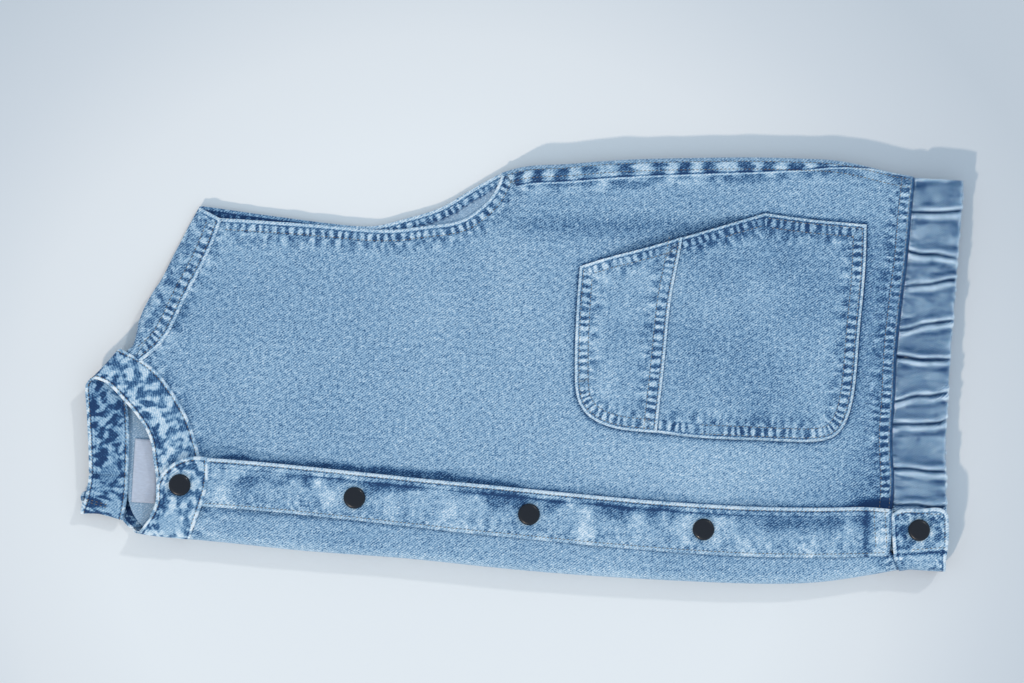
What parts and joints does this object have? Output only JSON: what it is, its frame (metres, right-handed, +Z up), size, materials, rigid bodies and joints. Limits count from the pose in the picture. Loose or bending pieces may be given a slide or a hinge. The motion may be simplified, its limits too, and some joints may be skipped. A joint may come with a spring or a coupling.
{
  "type": "denim work smock",
  "caption": "Sleeveless denim work smock with stand collar, snap placket, patch pocket and elastic waistband, snapped shut and folded in half lengthwise.",
  "frame": {"origin": "middle of the box on the resting face, under the folded smock", "axes": "+X from collar to hem, +Y from the lengthwise fold to the left side seam, +Z up out of the left front"},
  "size_m": [0.636, 0.312, 0.0243],
  "materials": {
    "denim": "light stone-washed cotton twill, matt",
    "denim_seams": "the same twill, puckered and mottled darker along its seams",
    "snap_cap": "black enamel, satin, slightly domed",
    "snap_metal": "nickel-plated brass",
    "elastic": "woven white elastic",
    "label": "plain pale satin ribbon"
  },
  "bodies": {
    "lower_half": {"right_front_panel": "denim", "right_back_panel": "denim", "right_side_seam": "denim", "right_shoulder_strip": "denim", "right_collar": "denim_seams", "right_back_collar": "denim_seams", "right_front_waistband": "denim_seams", "right_front_elastic": "elastic", "right_back_waistband": "denim_seams", "right_back_elastic": "elastic"},
    "upper_back": {"left_back_panel": "denim", "left_side_seam": "denim", "left_shoulder_strip": "denim", "left_front_side": "denim", "back_collar_outer": "denim_seams", "back_collar_inner": "denim_seams", "collar_turn": "denim_seams", "neck_label": "label", "left_back_waistband": "denim_seams", "left_back_elastic": "elastic", "collar_strip": "denim_seams", "front_strip": "denim", "waistband_strip": "denim_seams", "collar_fold_roll": "denim_seams", "front_fold_roll": "denim", "waistband_fold_roll": "denim_seams", "back_fold_roll": "denim"},
    "left_front": {"left_front_panel": "denim", "under_placket": "denim_seams", "under_tab": "denim_seams", "left_collar_outer": "denim_seams", "left_collar_inner": "denim_seams", "left_front_waistband": "denim_seams", "left_front_elastic": "elastic", "pocket_narrow_piece": "denim", "pocket_wide_piece": "denim", "snap_stud_1": "snap_metal", "snap_stud_2": "snap_metal", "snap_stud_3": "snap_metal", "snap_stud_4": "snap_metal", "snap_stud_5": "snap_metal", "snap_post_1": "snap_metal", "snap_post_2": "snap_metal", "snap_post_3": "snap_metal", "snap_post_4": "snap_metal", "snap_post_5": "snap_metal"},
    "placket_flap": {"outer_placket": "denim_seams", "waist_tab": "denim_seams", "collar_tab": "denim_seams", "snap_cap_1": "snap_cap", "snap_cap_2": "snap_cap", "snap_cap_3": "snap_cap", "snap_cap_4": "snap_cap", "snap_cap_5": "snap_cap", "snap_socket_1": "snap_metal", "snap_socket_2": "snap_metal", "snap_socket_3": "snap_metal", "snap_socket_4": "snap_metal", "snap_socket_5": "snap_metal"}
  },
  "joints": [
    {"name": "half_fold", "type": "hinge", "parent": "lower_half", "child": "upper_back", "pos_m": [0, -0.156, 0.0077], "axis": [1, 0, 0], "range_deg": [0, 160], "deforming": ["front_fold_roll", "collar_fold_roll", "waistband_fold_roll", "back_fold_roll"]},
    {"name": "left_front_open", "type": "hinge", "parent": "upper_back", "child": "left_front", "pos_m": [-0.28, -0.02, 0.0159], "axis": [-0.9554, -0.2953, 0], "range_deg": [0, 120]},
    {"name": "placket_open", "type": "hinge", "parent": "upper_back", "child": "placket_flap", "pos_m": [0, -0.1347, 0.0214], "axis": [1, 0, 0], "range_deg": [0, 150]}
  ]
}
